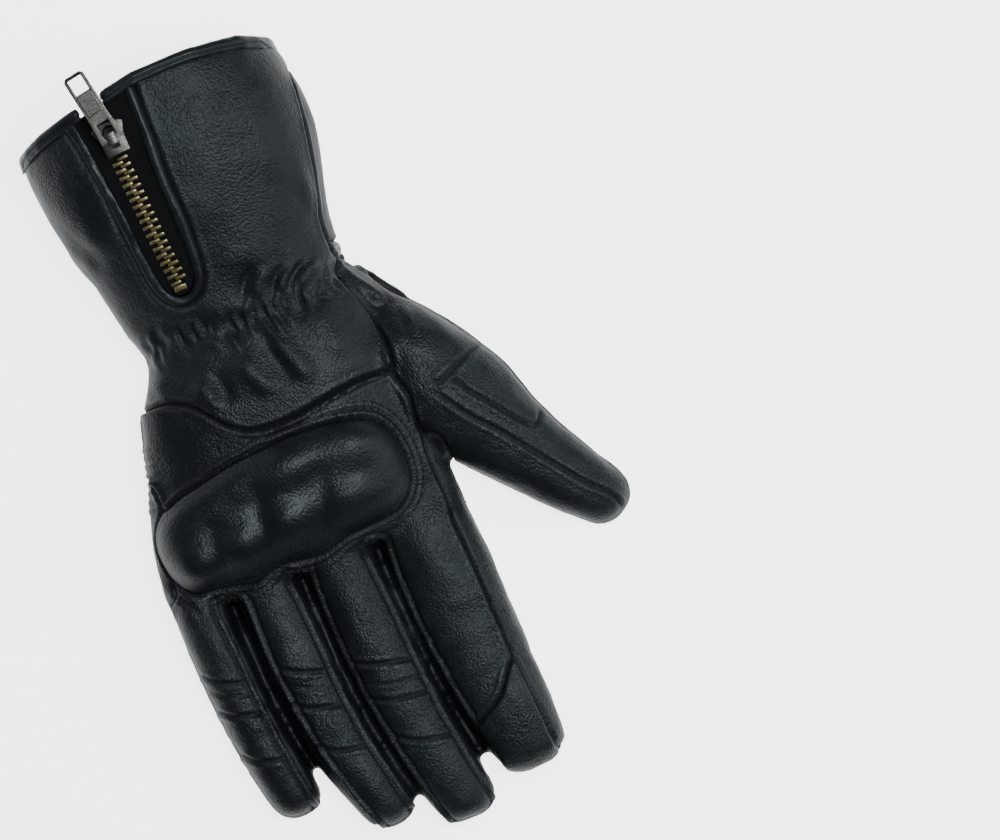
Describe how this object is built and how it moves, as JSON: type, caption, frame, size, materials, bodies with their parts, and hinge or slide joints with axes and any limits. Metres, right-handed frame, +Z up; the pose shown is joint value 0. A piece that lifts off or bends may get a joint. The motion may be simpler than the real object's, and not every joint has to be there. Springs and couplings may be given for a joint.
{
  "type": "leather motorcycle glove",
  "caption": "Black leather gauntlet motorcycle glove for the right hand, with a moulded knuckle guard and a brass zip in the cuff.",
  "frame": {"origin": "on the palm patch that the glove rests on, under the middle of the palm", "axes": "+Z up through the back of the hand, +Y towards the cuff, +X towards the thumb"},
  "size_m": [0.1784, 0.3098, 0.0696],
  "materials": {
    "leather": "satin",
    "guard_leather": "satin",
    "zip_tape": "matte",
    "brass": "satin",
    "nickel": "polished"
  },
  "bodies": {
    "glove": {"thumb_back": "leather", "thumb_palm": "leather", "cuff_back": "leather", "hand_back": "leather", "little_back": "leather", "ring_back": "leather", "middle_back": "leather", "index_back": "leather", "little_front": "leather", "ring_front": "leather", "middle_front": "leather", "index_front": "leather", "cuff_palm": "leather", "wrist_welt": "leather", "palm_panel": "leather", "little_side": "leather", "fourchette_little_ring": "leather", "fourchette_ring_middle": "leather", "fourchette_middle_index": "leather", "index_side": "leather", "cuff_binding": "leather", "zip_welt": "leather", "index_tip": "leather", "heel_pad": "leather", "palm_patch": "leather", "palm_band": "leather", "knuckle_guard": "guard_leather", "zip_tape": "zip_tape", "zip_teeth_left": "brass", "zip_teeth_right": "brass", "zip_bottom_stop": "brass", "zip_slider": "nickel"},
    "pull": {"zip_pull": "nickel"}
  },
  "joints": [
    {"name": "pull_swing", "type": "hinge", "parent": "glove", "child": "pull", "pos_m": [-0.01459, 0.13651, 0.06522], "axis": [0.982, 0.188, 0.0166], "range_deg": [0, 155]}
  ]
}
